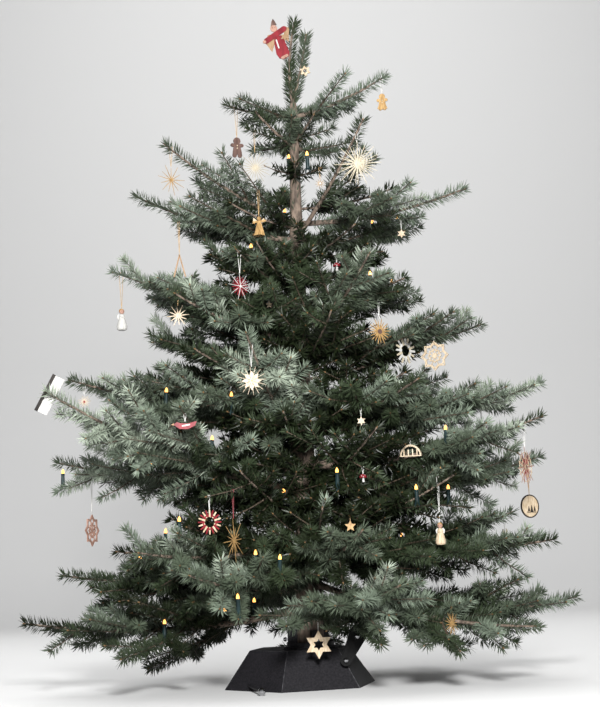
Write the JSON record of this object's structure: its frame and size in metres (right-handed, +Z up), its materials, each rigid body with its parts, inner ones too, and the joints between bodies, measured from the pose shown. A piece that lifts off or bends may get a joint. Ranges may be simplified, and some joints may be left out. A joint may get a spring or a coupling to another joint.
{
  "type": "christmas tree",
  "caption": "Cut fir Christmas tree with whorls of rising, needle-clad boughs round one straight trunk, standing in a black hexagonal tree stand with a foot pedal.",
  "frame": {"origin": "centre of the stand's flat underside", "axes": "+Z up along the trunk, -Y towards the side that the picture shows, +X to the right as seen from there"},
  "size_m": [1.4166, 1.0579, 1.7661],
  "materials": {
    "bark": "rough grey-brown bark",
    "needles": "satin blue-green needles",
    "black_paint": "satin",
    "steel": "polished",
    "straw": "satin",
    "light_wood": "sanded",
    "red_paint": "satin",
    "white_paint": "satin",
    "lamp_glass": "polished",
    "lamp_socket": "satin"
  },
  "bodies": {
    "root": {"bough_front_rising": "bark", "bough_lowest_right": "bark", "bough_shoulder_front": "bark", "bough_wide_left_front": "bark", "bough_wide_right_front": "bark", "foliage_broad_left": "needles", "foliage_broad_left_back": "needles", "foliage_broad_right": "needles", "foliage_broad_right_back": "needles", "foliage_broad_right_front": "needles", "foliage_front_rising": "needles", "foliage_low_front": "needles", "foliage_low_left": "needles", "foliage_low_left_back": "needles", "foliage_low_left_front": "needles", "foliage_low_right": "needles", "foliage_low_right_back": "needles", "foliage_low_right_front": "needles", "foliage_lowest_front": "needles", "foliage_lowest_left": "needles", "foliage_lowest_left_back": "needles", "foliage_lowest_left_front": "needles", "foliage_lowest_right": "needles", "foliage_lowest_right_back": "needles", "foliage_lowest_right_front": "needles", "foliage_middle_back": "needles", "foliage_middle_left": "needles", "foliage_middle_left_front": "needles", "foliage_middle_right": "needles", "foliage_middle_right_front": "needles", "foliage_neck_left_back": "needles", "foliage_neck_left_front": "needles", "foliage_neck_right_back": "needles", "foliage_neck_right_front": "needles", "foliage_shoulder_front": "needles", "foliage_shoulder_left": "needles", "foliage_shoulder_left_back": "needles", "foliage_shoulder_left_high": "needles", "foliage_shoulder_right": "needles", "foliage_shoulder_right_back": "needles", "foliage_top_back": "needles", "foliage_top_left": "needles", "foliage_top_right": "needles", "foliage_upper_left": "needles", "foliage_upper_left_back": "needles", "foliage_upper_left_front": "needles", "foliage_upper_right": "needles", "foliage_upper_right_back": "needles", "foliage_wide_left": "needles", "foliage_wide_left_back": "needles", "foliage_wide_left_front": "needles", "foliage_wide_right": "needles", "foliage_wide_right_back": "needles", "foliage_wide_right_front": "needles", "foot_pedal": "black_paint", "leader_shoots": "needles", "release_lever": "black_paint", "stand_collar": "black_paint", "stand_housing": "black_paint", "trunk": "bark"}
  },
  "joints": []
}
